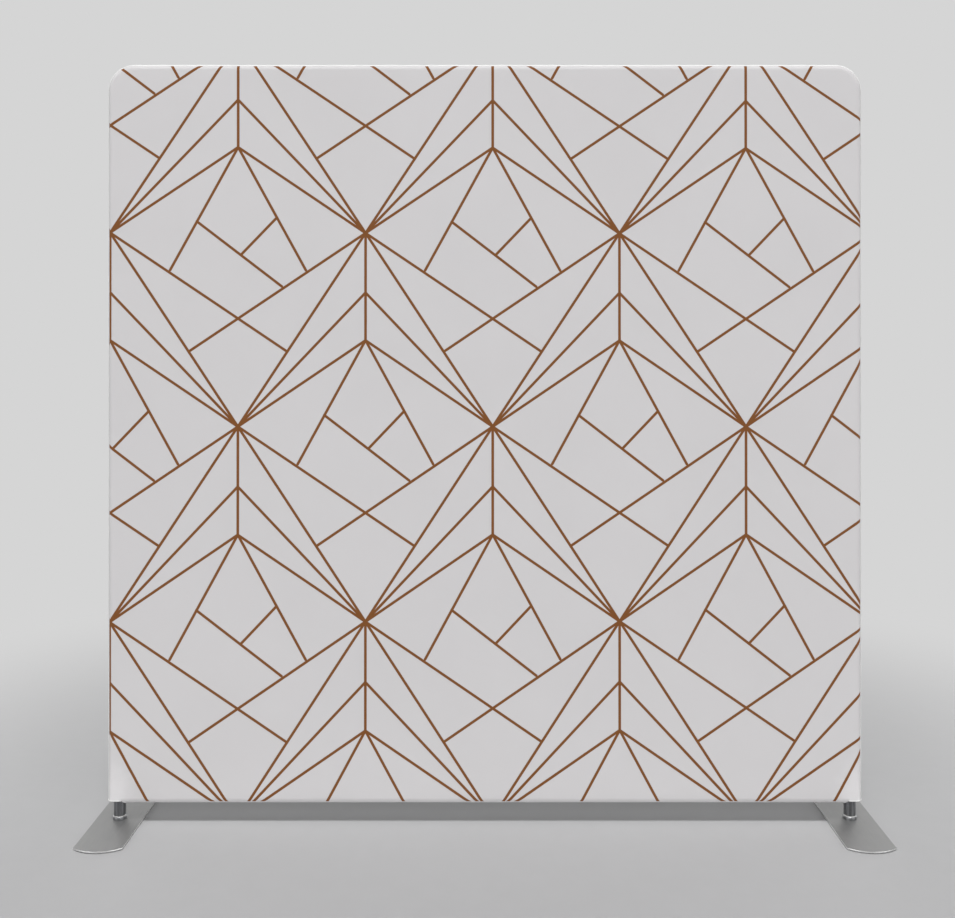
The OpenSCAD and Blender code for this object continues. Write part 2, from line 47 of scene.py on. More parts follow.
# The cover: COVER_R is its outside radius round the tubes, CORNER_R that of its top corners, and
# BEND_X and BEND_Z the middle of the right corner's round
cover_low, cover_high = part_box("front_cover")
COVER_R = -cover_low.y
CLOTH_T = 0.001
UPRIGHT_X = cover_high.x - COVER_R
HEM_Z = cover_low.z
BAR_Z = HEM_Z + COVER_R
TOP_Z = cover_high.z - COVER_R
CORNER_R = 0.087
BEND_R = CORNER_R - COVER_R
BEND_X = UPRIGHT_X - BEND_R
BEND_Z = TOP_Z - BEND_R

# The rows of its cloth below the bar and above the straight part, and how softly the bar's round
# goes over into the leg's sleeve
HEM_ROWS = 14
TOP_ROWS = 7
HEM_BLEND = 0.008
# The two halves stay this far from the panel's middle plane
MIDDLE_GAP = 0.00004
# The stretched face stands in from its plane by the first of these, give or take the second, and
# comes back to it at its rim, over the third
HOLLOW, HOLLOW_WAVE, HOLLOW_RIM = 0.0009, 0.0004, 0.35
# The soft folds above each leg stand out by this much, and die away over this reach
FOLD_HEIGHT, FOLD_REACH = 0.0011, 0.2

# The seam lies round the tubes from the front face by this turn. The cloth dips into it: how far
# before the seam, and how deep.
SEAM_TURN = 42
SEAM_DIPS = ((2.5, 0.00004), (1, 0.00017), (0.05, 0.00028))
SEAM_PITCH = 0.004

# The legs and their openings in the hem
post_low, post_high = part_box("right_foot_post")
LEG_X = (post_low.x + post_high.x) / 2
OPENING_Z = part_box("right_leg_cuff")[1].z
# Cross-sections along a binding's band, six to a rib, how deep the ribs are as a share, and stitches
BINDING_SECTIONS = 265
RIB_DEPTH = 0.14
BINDING_STITCHES = 38

# The zip: the middle and the reach of its slit, and its rows of stitches above and below that
tape_low, tape_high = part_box("upper_zip_tape")
coil_low, coil_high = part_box("upper_zip_coil")
ZIP_Z = (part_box("lower_zip_tape")[0].z + tape_high.z) / 2
ZIP_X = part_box("zip_stops")[1].x
SLIT_HALF = 0.005
ZIP_ROWS = (-0.0135, -0.0075, 0.0075, 0.0135)
ZIP_STITCHES = 560
COIL_PITCH = 0.002
COIL_WIRE_R = 0.00031
STOP_LEN = 0.003
SLIDER_LEN = 0.014
SLIDER_HALF = 0.0042
SLIDER_PLATE = 0.001

# The foot plates, and the inset and height of their edge from the underside round to the top
plate_low, plate_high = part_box("right_foot_plate")
PLATE_END_R = 0.120
PLATE_T = 0.005
PLATE_RIM = (
    (0.0016, 0.0),
    (0.0006, 0.0),
    (0.0002, 0.0002),
    (0.0, 0.0006),
    (0.0, 0.0036),
    (0.0001, 0.0041),
    (0.0004, 0.00465),
    (0.0009, 0.00493),
    (0.0014, PLATE_T),
    (0.0022, PLATE_T),
)

# The screw's hole through plate and post
HOLE_R = 0.0051

# The print's figures are drawn in units of about 3.23 mm, and it repeats after this many
UNIT_X, UNIT_Y = 0.0032285, 0.0032228
REPEAT_X, REPEAT_Y = 254.0, 194.5
# One of its stars is at this place on the cut cloth
STAR_U, STAR_V = 0.02405, 1.2762
# Its lines fade out between these distances from their middle, in units
LINE_EDGE = (1.17, 1.53)
# The cloth is stretched unevenly. These move the print across and down, in units: a shift, and the
# shares of x * x, x * y and y * y, where x and y run right and down from the stretch's own middle.
# That lies PULL_LEFT units left of the panel's middle and PULL_DROP below the star.
PULL_ACROSS = (-0.45, (1.17e-5, -4.2e-6, 0.0))
PULL_DOWN = (0.75, (0.0, 7.0e-6, -2.03e-5))
PULL_LEFT, PULL_DROP = 5.0, 12.6
# The hem under the bar is unprinted. The print fades in between these shares of COVER_R below it.
PRINT_END = (0.66, 0.58)

# The knit's stitches, across and up
WALE, COURSE = 0.0011, 0.0008
# The printed cloth is painted paler over the legs as a painted highlight, this far in and up from the
# corner, and by this much
LEG_HIGHLIGHT_X, LEG_HIGHLIGHT_Z, LEG_HIGHLIGHT_GAIN = 0.07, 0.15, 1.16


# Materials


def colour(red, green, blue):
    """A colour as it looks on screen, 0 to 255, as the linear one that sockets take."""
    parts = [c / 255 for c in (red, green, blue)]
    linear = [c / 12.92 if c <= 0.04045 else ((c + 0.055) / 1.055) ** 2.4 for c in parts]
    return (*linear, 1.0)


def shades(dark, light):
    """A dark and a light colour, each from its red, green and blue."""
    return colour(*dark), colour(*light)


def times(tone, share):
    """A linear colour made lighter or darker."""
    return tuple(c * share for c in tone[:3]) + (1.0,)


class Look:
    """The nodes of a material or world in the making. The methods add nodes and return outputs."""

    def __init__(self, owner):
        self.owner = owner
        owner.use_nodes = True
        self.tree = owner.node_tree
        self.tree.nodes.clear()

    def node(self, kind, inputs=None, **settings):
        made = self.tree.nodes.new("ShaderNode" + kind)
        for key, value in settings.items():
            setattr(made, key, value)
        for key, value in (inputs or {}).items():
            if isinstance(value, bpy.types.NodeSocket):
                self.tree.links.new(value, made.inputs[key])
            else:
                made.inputs[key].default_value = value
        return made

    def math(self, operation, a, b=0.0, clamp=False):
        return self.node("Math", {0: a, 1: b}, operation=operation, use_clamp=clamp).outputs[0]

    def vector(self, operation, a, b=(0, 0, 0), c=(0, 0, 0)):
        inputs = {0: a, 1: b, 2: c} if operation == "MULTIPLY_ADD" else {0: a, 1: b}
        made = self.node("VectorMath", inputs, operation=operation)
        return made.outputs["Value" if operation in ("DOT_PRODUCT", "LENGTH") else "Vector"]

    def combined(self, x, y, z=0.0):
        return self.node("CombineXYZ", {0: x, 1: y, 2: z}).outputs[0]

    def place(self, scale=(1, 1, 1)):
        """Coordinates that stay on the piece, in metres times scale."""
        out = self.node("TexCoord").outputs["Object"]
        return self.vector("MULTIPLY", out, scale)

    def noise(self, vector, scale=1.0, detail=2.0):
        inputs = {"Vector": vector, "Scale": scale, "Detail": detail}
        return self.node("TexNoise", inputs).outputs[0]

    def wave(self, value, pitch):
        return self.math("SINE", self.math("MULTIPLY", value, 2 * math.pi / pitch))

    def between(self, value, low, high, to_low=0.0, to_high=1.0):
        inputs = {"Value": value, "From Min": low, "From Max": high}
        inputs.update({"To Min": to_low, "To Max": to_high})
        return self.node("MapRange", inputs, interpolation_type="SMOOTHSTEP").outputs[0]

    def mix(self, factor, a, b):
        made = self.node("Mix", {0: factor, 6: a, 7: b}, data_type="RGBA")
        return made.outputs[2]

    def bump(self, height, distance, strength):
        inputs = {"Height": height, "Distance": distance, "Strength": strength}
        return self.node("Bump", inputs).outputs[0]

    def seen_ray(self):
        """1 for what the camera sees, straight, mirrored or through glass, and 0 for light."""
        path = self.node("LightPath")
        seen = self.math("MAXIMUM", path.outputs["Is Camera Ray"], path.outputs["Is Glossy Ray"])
        return self.math("MAXIMUM", seen, path.outputs["Is Transmission Ray"])

    def done(self, **sockets):
        inputs = {key.replace("_", " "): value for key, value in sockets.items()}
        surface = self.node("BsdfPrincipled", inputs).outputs[0]
        self.node("OutputMaterial", {"Surface": surface})
        return self.owner


def material_nodes(name):
    return Look(bpy.data.materials.new(name))


def print_lines():
    """The print's straight lines in one repeat, in units from its star, with y down. Those of the
    first list are mirrored in x."""
    both = [
        ((0, 0), (127, 194.5)),
        ((0, 0), (0, 108)),
        ((0, 60), (127, 194.5)),
        ((0, 108), (127, 194.5)),
        ((0, 108), (67.5, 232)),
        ((0, 0), (175, 118.7)),
        ((254, 0), (79, 118.7)),
        ((127, -86.5), (59.5, 37.5)),
    ]
    single = [
        ((-41, 183), (43.5, 248.3)),
        ((38, 179.6), (3.4, 216)),
        ((86, -11.5), (170.5, 53.8)),
        ((-168, -11.5), (-83.5, 53.8)),
        ((-89, -14.9), (-123.6, 21.5)),
    ]
    return both, single


def near_lines(look, point, lines, nearest=None):
    """The distance from point to the nearest of the lines."""
    for start, end in lines:
        run = np.subtract(end, start)
        pace = run / run.dot(run)
        away = look.vector("SUBTRACT", point, (*start, 0))
        along = look.vector("DOT_PRODUCT", away, (*pace, 0))
        along = look.math("MULTIPLY", along, 1.0, clamp=True)
        rest = look.vector("MULTIPLY_ADD", along, (*-run, 0), away)
        distance = look.vector("LENGTH", rest)
        nearest = distance if nearest is None else look.math("MINIMUM", nearest, distance)
    return nearest


def print_ink(look, across, up):
    """How much ink the print lays at a place on the cut cloth."""
    u = look.math("MULTIPLY", look.math("SUBTRACT", across, STAR_U), 1 / UNIT_X)
    v = look.math("MULTIPLY", look.math("SUBTRACT", STAR_V, up), 1 / UNIT_Y)

    # The pull of the uneven stretch
    x = look.math("ADD", look.math("MULTIPLY", across, 1 / UNIT_X), PULL_LEFT)
    y = look.math("SUBTRACT", v, PULL_DROP)
    squares = look.combined(*(look.math("MULTIPLY", a, b) for a, b in ((x, x), (x, y), (y, y))))
    moved = []
    for place, (shift, shares) in ((u, PULL_ACROSS), (v, PULL_DOWN)):
        pull = look.vector("DOT_PRODUCT", squares, shares)
        moved.append(look.math("ADD", look.math("ADD", place, pull), shift))
    u, v = moved

    # The place within one repeat. Each row of repeats stands half a repeat beside the last.
    row = look.math("FLOOR", look.math("MULTIPLY", v, 1 / REPEAT_Y))
    y = look.math("SUBTRACT", v, look.math("MULTIPLY", row, REPEAT_Y))
    x = look.math("ADD", u, look.math("MULTIPLY", row, REPEAT_X / 2))
    ends = {0: x, 1: REPEAT_X / 2, 2: -REPEAT_X / 2}
    x = look.node("Math", ends, operation="WRAP").outputs[0]
    both, single = print_lines()
    nearest = near_lines(look, look.combined(look.math("ABSOLUTE", x), y), both)
    nearest = near_lines(look, look.combined(x, y), single, nearest)
    return look.between(nearest, *LINE_EDGE, 1.0, 0.0)


def printed_ground(look, flat, across, up, base):
    """The printed cloth's colour: copper lines on a ground with a painted highlight over the legs."""
    side = look.math("SUBTRACT", UPRIGHT_X, look.math("ABSOLUTE", across))
    rise = look.math("SUBTRACT", up, HEM_Z)
    reach = look.vector("MULTIPLY", look.combined(side, rise), (1 / LEG_HIGHLIGHT_X, 1 / LEG_HIGHLIGHT_Z, 0))
    highlight_breakup = look.math("MULTIPLY", look.noise(flat, 22.0), 0.5)
    reach = look.math("ADD", look.vector("LENGTH", reach), highlight_breakup)
    # Painted highlight: the ground is painted paler over each leg
    ground = look.mix(look.between(reach, 0.5, 1.5), times(base, LEG_HIGHLIGHT_GAIN), base)
    copper = look.mix(look.noise(flat, 500.0), *COPPER)
    above = look.between(up, *(BAR_Z - share * COVER_R for share in PRINT_END))
    ink = look.math("MULTIPLY", print_ink(look, across, up), above)
    return look.mix(ink, ground, copper)


def cloth_look(name, base, printed):
    """Stretch knit, from flat coordinates in metres."""
    look = material_nodes(name)
    flat = look.node("UVMap", uv_map="flat").outputs[0]
    across, up = look.node("SeparateXYZ", {0: flat}).outputs[:2]
    ground = printed_ground(look, flat, across, up, base) if printed else base
    fine = look.noise(flat, 900.0, 1.0)
    broad = look.between(look.noise(flat, 3.0, 3.0), 0.3, 0.7, 0.98, 1.0)
    shade = look.math("MULTIPLY", broad, look.between(fine, 0.3, 0.7, 0.97, 1.0))
    knit = look.math("MULTIPLY", look.wave(across, WALE), look.wave(up, COURSE))
    return look.done(
        Base_Color=look.mix(shade, (0, 0, 0, 1), ground),
        Roughness=look.between(fine, 0.3, 0.7, 0.78, 0.9),
        Normal=look.bump(knit, 0.00006, 0.25),
        Sheen_Weight=0.05,
        Sheen_Roughness=0.4,
    )


def metal_look(name, dark, light, roughness, grain):
    """Bare metal with a grain: grain is how many times a metre it changes along x, y and z."""
    look = material_nodes(name)
    streak = look.noise(look.place(grain), 1.0, 3.0)
    patch = look.noise(look.place(), 6.0, 3.0)
    base = look.mix(look.between(streak, 0.25, 0.75), dark, light)
    base = look.mix(look.between(patch, 0.3, 0.8, 0.0, 0.35), base, dark)
    rough = look.math("ADD", look.between(streak, 0.2, 0.8, -0.06, 0.08), roughness)
    rough = look.math("ADD", rough, look.between(patch, 0.3, 0.8, 0.0, 0.08))
    normal = look.bump(streak, 0.00002, 0.5)
    return look.done(Base_Color=base, Metallic=1.0, Roughness=rough, Normal=normal)


def moulded_look(name, dark, light, roughness, scale=1500.0, depth=0.00004):
    """Plastic, rubber or thread with a fine uneven surface."""
    look = material_nodes(name)
    fine = look.noise(look.place(), scale, 3.0)
    patch = look.noise(look.place(), 25.0, 3.0)
    base = look.mix(look.between(patch, 0.3, 0.7), dark, light)
    rough = look.between(fine, 0.3, 0.7, roughness - 0.08, roughness + 0.08)
    return look.done(Base_Color=base, Roughness=rough, Normal=look.bump(fine, depth, 0.6))


def band_look(name, base, along, across):
    """Woven band: along and across are its threads' pitch in metres along x, and along z."""
    look = material_nodes(name)
    cut = look.node("SeparateXYZ", {0: look.place()})
    warp = look.wave(cut.outputs[0], along)
    weft = look.wave(cut.outputs[2], across)
    height = look.math("ADD", look.math("MULTIPLY", warp, weft), look.math("ABSOLUTE", weft))
    # Painted shade: the low places of the weave are darker
    weave_shade = look.mix(look.between(height, -1.0, 1.6), times(base, 0.86), base)
    normal = look.bump(height, 0.00008, 0.6)
    return look.done(Base_Color=weave_shade, Roughness=0.85, Normal=normal, Sheen_Weight=0.1)


COPPER = shades((111, 64, 16), (129, 76, 26))
FRONT = cloth_look("printed_stretch_cloth", colour(208, 206, 207), True)
BACK = cloth_look("plain_stretch_cloth", colour(226, 226, 225), False)
BINDING = band_look("elastic_binding", colour(240, 240, 238), 0.0016, 0.0007)
TAPE = band_look("zip_tape_cloth", colour(232, 232, 230), 0.0008, 0.0006)

THREAD = moulded_look("sewing_thread", *shades((222, 222, 220), (238, 238, 236)), 0.6, 4000.0)
SEAM_THREAD = moulded_look("overlock_thread", *shades((160, 158, 158), (176, 174, 174)), 0.7, 4000.0)
COIL = moulded_look("zip_coil_nylon", *shades((214, 214, 212), (228, 228, 226)), 0.35)
SADDLE = moulded_look("saddle_nylon", *shades((58, 59, 62), (70, 71, 74)), 0.5)
BUSH = moulded_look("bush_acetal", *shades((224, 224, 220), (236, 236, 232)), 0.38)
RUBBER = moulded_look("pad_rubber", *shades((28, 28, 29), (42, 42, 43)), 0.75, 900.0, 0.00008)

TUBE = shades((172, 173, 175), (200, 201, 202))
TUBE_Z = metal_look("upright_aluminium", *TUBE, 0.3, (700, 700, 9))
TUBE_X = metal_look("level_aluminium", *TUBE, 0.3, (9, 700, 700))
# Painted shade: the leg tubes are the tubes' aluminium painted darker
SHADED_LEG = metal_look("shaded_leg_aluminium", *shades((106, 107, 109), (132, 133, 135)), 0.26, (700, 700, 9))
SLEEVE = metal_look("sleeve_aluminium", *shades((150, 151, 153), (178, 179, 181)), 0.36, (300, 300, 300))
RIVET = metal_look("rivet_aluminium", *shades((186, 187, 188), (214, 214, 214)), 0.26, (900, 900, 900))
SPRING = metal_look("spring_steel", *shades((92, 97, 106), (126, 131, 140)), 0.32, (40, 500, 500))
BUTTON = metal_look("button_plating", *shades((176, 158, 118), (208, 190, 146)), 0.24, (800, 800, 800))
PLATE = metal_look("foot_plate_steel", *shades((134, 134, 134), (149, 149, 148)), 0.46, (900, 14, 900))
EDGE_SHADES = shades((228, 228, 227), (247, 247, 246))
PLATE_EDGE = metal_look("foot_plate_ground_edge", *EDGE_SHADES, 0.26, (900, 900, 90))
POST = metal_look("foot_post_steel", *shades((112, 113, 115), (146, 147, 148)), 0.3, (60, 60, 1500))
SCREW = metal_look("screw_steel", *shades((84, 85, 88), (112, 113, 116)), 0.34, (500, 500, 500))
ZIP_METAL = metal_look("zip_slider_zinc", *shades((182, 183, 186), (216, 216, 218)), 0.25, (900, 900, 900))


# Mesh building


def add_mesh(name, points, faces, looks, body, nodes=(), flat=None, second=(), sharp=35):
    """A piece from points and faces. flat gives each point's place in the cut cloth, and the faces
    whose numbers are in second take the second look."""
    mesh = bpy.data.meshes.new(name)
    mesh.from_pydata([tuple(p) for p in points], [], faces)
    if flat is not None:
        layer = mesh.uv_layers.new(name="flat")
        corner = np.zeros(len(mesh.loops), int)
        mesh.loops.foreach_get("vertex_index", corner)
        layer.data.foreach_set("uv", np.asarray(flat, float)[corner].ravel())
    for look in looks:
        mesh.materials.append(look)
    for i in second:
        mesh.polygons[i].material_index = 1
    mesh.polygons.foreach_set("use_smooth", [True] * len(mesh.polygons))
    mesh.set_sharp_from_angle(angle=math.radians(sharp))
    mesh.update()
    piece = bpy.data.objects.new(name, mesh)
    bpy.context.scene.collection.objects.link(piece)
    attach(piece, body)
    if nodes:
        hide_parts(*nodes)
    return piece


def grid_faces(rows, columns, start=0, closed=False, flip=False, skip=None):
    """Faces between the points of a grid numbered row by row."""
    faces = []
    for i in range(rows - 1):
        for j in range(columns if closed else columns - 1):
            if skip and skip(i, j):
                continue
            a, b = start + i * columns + j, start + i * columns + (j + 1) % columns
            face = (a, b, b + columns, a + columns)
            faces.append(face[::-1] if flip else face)
    return faces


def ring_faces(rows, columns):
    """Faces between the rings of a closed profile, from the last ring back to the first too."""
    last = (rows - 1) * columns
    faces = grid_faces(rows, columns, closed=True)
    for j in range(columns):
        k = (j + 1) % columns
        faces.append((last + j, last + k, k, j))
    return faces


def turned(name, x, profile, look, body, nodes):
    """A piece turned about the vertical at x, from a closed profile of (radius, z) that runs
    anticlockwise."""
    count = 96
    angles = np.arange(count) * 2 * math.pi / count
    points = [(x + r * math.cos(a), r * math.sin(a), z) for r, z in profile for a in angles]
    return add_mesh(name, points, ring_faces(len(profile), count), [look], body, nodes)


def arc(centre_r, centre_z, radius, start, end, steps):
    """Points of an arc in a profile, from one angle to another in degrees."""
    return [
        (centre_r + radius * math.cos(math.radians(a)), centre_z + radius * math.sin(math.radians(a)))
        for a in np.linspace(start, end, steps + 1)
    ]


def box_points(low, high, bevel):
    """The points and faces of a box with bevelled edges."""
    low, high = np.array(low, float), np.array(high, float)
    points, faces, index = [], [], {}
    for corner in np.ndindex(2, 2, 2):
        for axis in range(3):
            p = np.where(np.array(corner) == 1, high, low)
            inward = np.where(np.array(corner) == 1, -bevel, bevel)
            p = p + inward
            p[axis] = high[axis] if corner[axis] else low[axis]
            index[corner, axis] = len(points)
            points.append(p)
    for axis in range(3):
        u, v = (axis + 1) % 3, (axis + 2) % 3
        for side in (0, 1):
            ring = []
            for a, b in ((0, 0), (1, 0), (1, 1), (0, 1)):
                corner = [0, 0, 0]
                corner[axis], corner[u], corner[v] = side, a, b
                ring.append(index[tuple(corner), axis])
            faces.append(tuple(ring) if side else tuple(ring[::-1]))
        for a, b in np.ndindex(2, 2):
            ends = []
            for side in (0, 1):
                corner = [0, 0, 0]
                corner[axis], corner[u], corner[v] = side, a, b
                ends.append(tuple(corner))
            first, last = ends
            strip = (index[first, u], index[last, u], index[last, v], index[first, v])
            faces.append(strip[::-1] if a == b else strip)
    for corner in np.ndindex(2, 2, 2):
        tri = tuple(index[corner, axis] for axis in range(3))
        faces.append(tri if sum(corner) % 2 else tri[::-1])
    return points, faces


def joined(parts):
    """Several sets of points and faces as one."""
    points, faces = [], []
    for more_points, more_faces in parts:
        start = len(points)
        points += [tuple(p) for p in more_points]
        faces += [tuple(i + start for i in face) for face in more_faces]
    return points, faces


def stitches(centres, ways, ups, half_length, half_width, height):
    """A row of sewn stitches: short threads along ways that arch up out of the cloth."""
    across = np.cross(ways, ups)
    faces = grid_faces(4, 4, closed=True, flip=True) + [(0, 1, 2, 3), (15, 14, 13, 12)]
    parts = []
    for centre, way, up, side in zip(centres, ways, ups, across):
        points = []
        wide, sunk = side * half_width, up * height * 0.4
        for step, arch in ((-1, 0.15), (-0.55, 0.9), (0.55, 0.9), (1, 0.15)):
            middle = centre + way * half_length * step
            top = middle + up * height * arch
            points += [middle - wide - sunk, middle + wide - sunk, top + wide * 0.6, top - wide * 0.6]
        parts.append((points, faces))
    return joined(parts)


def smooth_step(x):
    x = np.clip(x, 0, 1)
    return x * x * (3 - 2 * x)


# The cover


def spread_columns(extra=()):
    """Places of the cloth's columns, closer at the corners and over the legs, and at each extra."""
    clear, least = 0.006, 0.0004
    xs = list(np.linspace(0, BEND_X - 0.004, 46))
    xs += [BEND_X + BEND_R * math.sin(math.radians(a)) for a in np.linspace(0, 90, 17)]
    over_leg = (1.05, 1.0, 0.97, 0.9, 0.8, 0.65, 0.5, 0.38, 0.25, 0.1, 0.0)
    xs += [LEG_X - COVER_R * share for share in over_leg]
    kept = []
    for x in sorted(xs):
        crowded = kept and x - kept[-1] < least
        if not crowded and all(abs(x - e) >= clear for e in extra):
            kept.append(x)
    half = sorted([*kept, *extra])
    return np.array([-x for x in half[:0:-1]] + half)


def spread_rows(extra=()):
    """Heights of the cloth's rows from the bar to a little below the corners' round, and each
    extra."""
    clear = 0.004
    even = np.linspace(BAR_Z, BEND_Z - 0.05, 92)
    zs = [z for z in even if all(abs(z - e) > clear for e in extra)]
    return np.array(sorted([*zs, *extra]))


def slack(x, z):
    """How far the stretched sheet stands in from its plane at a point."""
    edge = np.minimum.reduce([UPRIGHT_X - np.abs(x), TOP_Z - z, z - BAR_Z])
    wave = np.sin(2.3 * x + 0.6) * np.sin(1.9 * z + 0.4)
    return smooth_step(edge / HOLLOW_RIM) * (HOLLOW + HOLLOW_WAVE * wave)


def tension(x, z):
    """How far the soft folds that run up from each leg stand out of the sheet."""
    dx, dz = UPRIGHT_X - np.abs(x), z - BAR_Z
    reach = np.hypot(dx, dz)
    turn = np.arctan2(dz, np.maximum(dx, 1e-9)) / (math.pi / 2)
    window = smooth_step(turn / 0.2) * smooth_step((1 - turn) / 0.12) * smooth_step(reach / 0.05)
    wave = 0.5 + 0.5 * np.cos(turn * 17 + 6 * reach)
    return FOLD_HEIGHT * window * wave * np.exp(-((reach / FOLD_REACH) ** 2))


def face_y(x, z):
    """How far the cover's face lies from the panel's middle plane at a point."""
    return COVER_R - slack(x, z) + tension(x, z)


def hem_rows(xs):
    """Depths and heights of the rows below the bar, from the hem up. They blend the bar's round
    with the straight sleeve of the leg."""
    leg = np.maximum(0, LEG_X - np.abs(xs))
    hem = np.clip(BAR_Z - leg, HEM_Z, OPENING_Z)
    rows = []
    for phi in np.radians(np.linspace(90, 0, HEM_ROWS + 1)[:-1]):
        drop = (BAR_Z - hem) * math.sin(phi)
        part = np.clip(0.5 + 0.5 * (drop - leg) / HEM_BLEND, 0, 1)
        least = drop * (1 - part) + leg * part - HEM_BLEND * part * (1 - part)
        least = np.clip(least, 0, COVER_R)
        rows.append((np.maximum(MIDDLE_GAP, np.sqrt(COVER_R**2 - least**2)), BAR_Z - drop))
    return rows


def face_rows(xs, zs):
    """Depths and heights of the rows of the face, the last ones spread up to the corners' round."""
    over = np.maximum(0, np.abs(xs) - BEND_X)
    top = BEND_Z + np.sqrt(np.maximum(0, BEND_R**2 - over**2))
    heights = [np.full(len(xs), z) for z in zs]
    heights += [zs[-1] + (top - zs[-1]) * t for t in np.linspace(0, 1, TOP_ROWS + 1)[1:]]
    return [(face_y(xs, z), z) for z in heights]


def outline(xs, rows):
    """The numbers of the points round a face, from the right hem over the top to the left hem, and
    the way out of the face at each, in x and z."""
    n = len(xs)
    up_right = [i * n + n - 1 for i in range(rows)]
    over_top = [(rows - 1) * n + j for j in range(n - 2, 0, -1)]
    down_left = [i * n for i in range(rows - 1, -1, -1)]
    x = xs[-2:0:-1]
    lean = np.copysign(np.maximum(0, np.abs(x) - BEND_X) / BEND_R, x)
    along_top = np.stack([lean, np.sqrt(np.maximum(0, 1 - lean**2))], 1)
    ways = [np.tile((1.0, 0), (rows, 1)), along_top, np.tile((-1.0, 0), (rows, 1))]
    return up_right + over_top + down_left, np.concatenate(ways)


def cover_half(name, way, look, node, turn, slit=False):
    """One face of the cover, rolled round the tubes' edge by turn. way is -1 for the front and 1
    for the back."""
    xs = spread_columns((ZIP_X,) if slit else ())
    zs = spread_rows((ZIP_Z - SLIT_HALF, ZIP_Z + SLIT_HALF) if slit else ())
    depth, height = np.array([*hem_rows(xs), *face_rows(xs, zs)]).swapaxes(0, 1)
    rows, n = depth.shape
    place = np.tile(xs, rows)

    # Flat coordinates: x, and the height, but from the bar down the length along the cloth
    flat_v = height.copy()
    for i in range(HEM_ROWS - 1, -1, -1):
        flat_v[i] = flat_v[i + 1] - np.hypot(depth[i] - depth[i + 1], height[i] - height[i + 1])
    points = np.stack([place, way * depth.ravel(), height.ravel()], 1)
    flat = np.stack([place, flat_v.ravel()], 1)

    def in_slit(i, j):
        z = (height[i][j] + height[i + 1][j]) / 2
        return abs(z - ZIP_Z) < SLIT_HALF and abs((xs[j] + xs[j + 1]) / 2) < ZIP_X

    faces = grid_faces(rows, n, flip=way > 0, skip=in_slit if slit else None)

    # The round edge, swept along the outline
    rim, outward = outline(xs, rows)
    start, start_flat = points[rim], flat[rim]
    steps = [(angle, 0.0) for angle in np.linspace(0, turn - 5, round(turn / 6) + 1)[1:]]
    steps += [(turn - before, dip) for before, dip in SEAM_DIPS]
    rings = [rim]
    for angle, dip in steps:
        phi = math.radians(angle)
        out = outward * (COVER_R - dip) * math.sin(phi)
        deep = np.full(len(rim), way * (COVER_R - dip) * math.cos(phi))
        ring = np.stack([start[:, 0] + out[:, 0], deep, start[:, 2] + out[:, 1]], 1)
        rings.append(range(len(points), len(points) + len(rim)))
        points = np.concatenate([points, ring])
        flat = np.concatenate([flat, start_flat + outward * COVER_R * phi])
    for inner, outer in zip(rings, rings[1:]):
        for b in range(len(rim) - 1):
            face = (inner[b], outer[b], outer[b + 1], inner[b + 1])
            faces.append(face[::-1] if way > 0 else face)

    piece = add_mesh(name, points, faces, [look], "frame", [node], flat, sharp=180)
    thick = piece.modifiers.new("thickness", "SOLIDIFY")
    thick.thickness = CLOTH_T
    thick.offset = -1
    view = bpy.context.evaluated_depsgraph_get()
    fixed = bpy.data.meshes.new_from_object(piece.evaluated_get(view))
    piece.modifiers.clear()
    piece.data = fixed
    fixed.set_sharp_from_angle(angle=math.radians(50))
    return piece


def seam_thread():
    """Overlocked thread along the seam, from the right leg over the top to the left leg."""
    half = SEAM_PITCH / 2
    places = [(UPRIGHT_X, z, 1, 0) for z in np.arange(OPENING_Z + half, BEND_Z, SEAM_PITCH)]
    for along in np.arange(half, BEND_R * math.pi / 2, SEAM_PITCH * BEND_R / CORNER_R):
        ox, oz = math.cos(along / BEND_R), math.sin(along / BEND_R)
        places.append((BEND_X + BEND_R * ox, BEND_Z + BEND_R * oz, ox, oz))
    places += [(x, TOP_Z, 0, 1) for x in np.arange(BEND_X - half, 0, -SEAM_PITCH)]
    places += [(-x, z, -ox, oz) for x, z, ox, oz in places[::-1]]
    x, z, ox, oz = np.array(places).T
    zero = np.zeros(len(x))
    phi = math.radians(SEAM_TURN - 1)
    out, deep = COVER_R * math.sin(phi), COVER_R * math.cos(phi)
    centres = np.stack([x + ox * out, zero - deep, z + oz * out], 1)
    ups = np.stack([ox * math.sin(phi), zero - math.cos(phi), oz * math.sin(phi)], 1)
    ways = np.stack([-oz, zero, ox], 1)
    points, faces = stitches(centres, ways, ups, half_length=0.0017, half_width=0.0004, height=0.00012)
    return add_mesh("seam_thread", points, faces, [SEAM_THREAD], "frame")


def opening_line(count):
    """Even places along a binding, from the front of the bar round the leg to the bar's back: the
    middle that each turns about, and its turn in radians."""
    turns = np.radians([239, 270, 270, 450, 450, 481])
    middles = np.array([LEG_X, LEG_X, UPRIGHT_X, UPRIGHT_X, LEG_X, LEG_X])
    lengths = COVER_R * np.abs(np.diff(turns)) + np.abs(np.diff(middles))
    run = np.concatenate([[0], np.cumsum(lengths)])
    even = np.linspace(0, run[-1], count)
    return np.interp(even, run, middles), np.interp(even, run, turns)


def fat_round(a):
    """A circle pushed out towards a square, at angle a."""
    cos, sin = math.cos(a), math.sin(a)
    return math.copysign(abs(cos) ** 0.5, cos), math.copysign(abs(sin) ** 0.5, sin)


